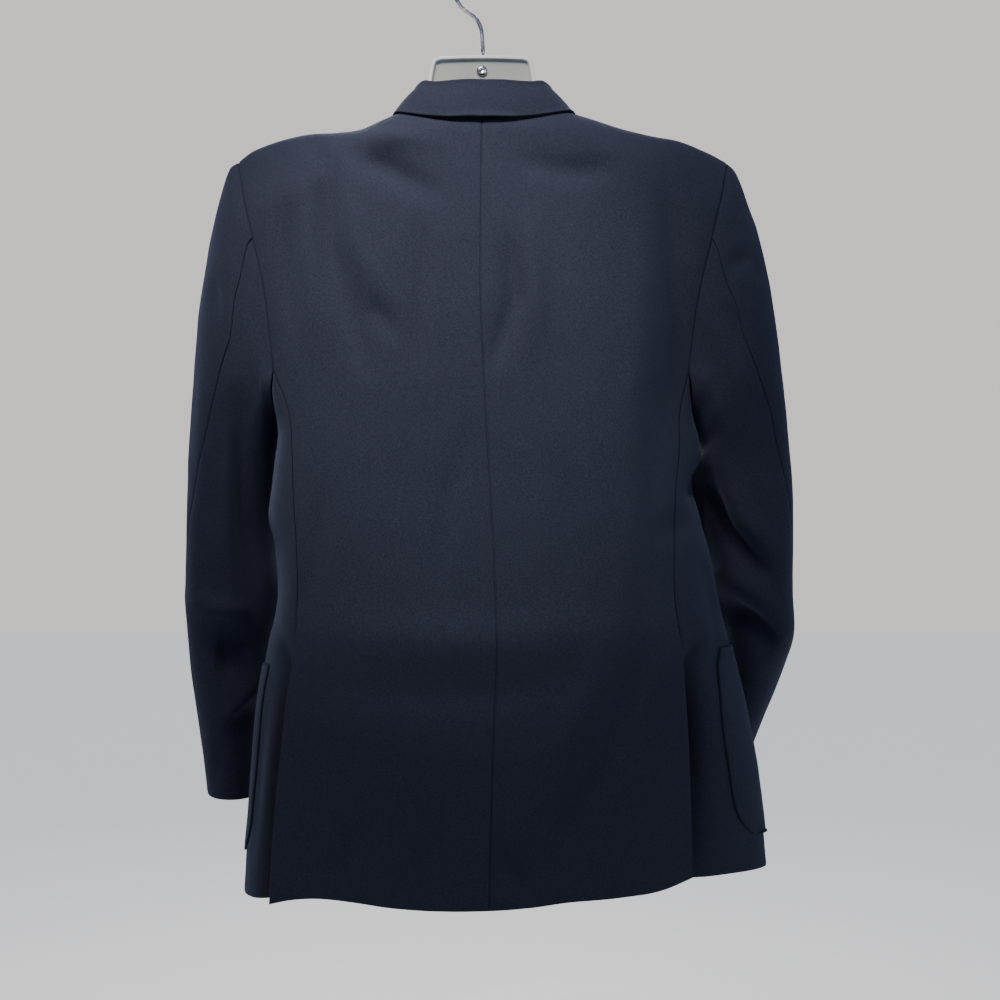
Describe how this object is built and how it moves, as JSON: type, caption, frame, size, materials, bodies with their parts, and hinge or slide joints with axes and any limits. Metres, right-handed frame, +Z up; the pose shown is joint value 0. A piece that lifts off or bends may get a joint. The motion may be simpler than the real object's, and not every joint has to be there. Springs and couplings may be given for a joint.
{
  "type": "blazer on a hanger",
  "caption": "Single-breasted tailored jacket with notched lapels, two side vents and patch pockets, hanging on a moulded hanger with a wire hook.",
  "frame": {"origin": "underside of the top of the hanger's hook, where it hangs on a rail", "axes": "+Z up, +Y out of the jacket's back, +X towards the wearer's left"},
  "size_m": [0.6155, 0.2668, 0.9288],
  "materials": {
    "cloth": "matt worsted wool in a plain weave, very dark navy",
    "plastic": "moulded off-white plastic, slightly satin",
    "steel": "plated wire, satin",
    "brass": "satin brass, plain"
  },
  "bodies": {
    "root": {"back_left": "cloth", "back_right": "cloth", "button_lower": "brass", "button_upper": "brass", "collar": "cloth", "front_left": "cloth", "front_right": "cloth", "hanger": "plastic", "hanger_hook": "steel", "hanger_rivet": "steel", "lapel_left": "cloth", "lapel_right": "cloth", "pocket_left": "cloth", "pocket_right": "cloth", "side_left": "cloth", "side_right": "cloth", "sleeve_left_top": "cloth", "sleeve_left_under": "cloth", "sleeve_right_top": "cloth", "sleeve_right_under": "cloth"}
  },
  "joints": []
}
